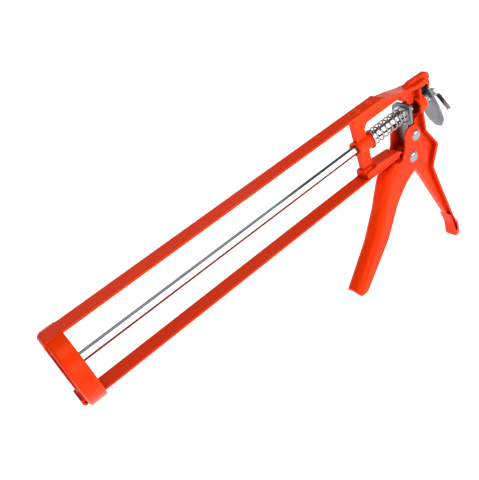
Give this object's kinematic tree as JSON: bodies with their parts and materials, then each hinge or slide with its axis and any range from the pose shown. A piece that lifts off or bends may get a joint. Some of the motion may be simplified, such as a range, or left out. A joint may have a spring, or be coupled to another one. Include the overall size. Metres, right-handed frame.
{
  "type": "caulking gun",
  "caption": "Open-frame caulking gun: flat rails between a nozzle cup and a cast handle, with a hexagonal plunger rod, sprung trigger and thumb release plate.",
  "frame": {"origin": "centre of the nozzle slot in the folded front plate, on the plunger rod's axis", "axes": "+X along the rod from the nozzle end to the handle, +Z from the handle up to the top rail, -Y the side that the rod's bent tail leans to"},
  "size_m": [0.365, 0.0533, 0.1771],
  "materials": {
    "orange_paint": "gloss",
    "rod_steel": "zinc plated",
    "zinc_steel": "zinc plated",
    "plate_steel": "satin",
    "rivet_steel": "bright",
    "spring_wire": "bright"
  },
  "bodies": {
    "frame": {"front_cup": "orange_paint", "top_rail": "orange_paint", "bottom_rail": "orange_paint", "handle_casting": "orange_paint", "top_rail_rivets": "orange_paint", "bottom_rail_rivets": "orange_paint", "guide_washer": "zinc_steel", "release_washer": "zinc_steel", "main_spring": "spring_wire", "release_spring": "spring_wire"},
    "plunger": {"plunger_rod": "rod_steel", "plunger_disc": "zinc_steel", "plunger_front_washer": "zinc_steel", "plunger_rear_washer": "zinc_steel"},
    "trigger": {"trigger": "orange_paint", "trigger_pivot_rivet": "rivet_steel", "pusher_rivet": "rivet_steel", "pusher_sleeve": "zinc_steel"},
    "drive_plate": {"drive_plate": "plate_steel", "spring_washer": "zinc_steel"},
    "release_plate": {"release_plate": "plate_steel"}
  },
  "joints": [
    {"name": "plunger_slide", "type": "slide", "parent": "frame", "child": "plunger", "axis": [1, 0, 0], "range_m": [0, 0.24]},
    {"name": "trigger_pivot", "type": "hinge", "parent": "frame", "child": "trigger", "pos_m": [0.31225, 0, -0.0351], "axis": [0, -1, 0], "range_deg": [0, 25], "stiffness_Nm_per_rad": 0.6, "springref_deg": -20.05},
    {"name": "drive_plate_slide", "type": "slide", "parent": "frame", "child": "drive_plate", "axis": [-1, 0, 0], "range_m": [0, 0.008], "deforming": ["main_spring"]},
    {"name": "release_pivot", "type": "hinge", "parent": "frame", "child": "release_plate", "pos_m": [0.34175, 0, 0.0115], "axis": [0, 1, 0], "range_deg": [0, 10], "stiffness_Nm_per_rad": 0.15, "springref_deg": -20.05, "deforming": ["release_spring"]}
  ],
  "couplings": [
    {"joint": "drive_plate_slide", "follows": "trigger_pivot", "m_per_rad": 0.0178}
  ]
}
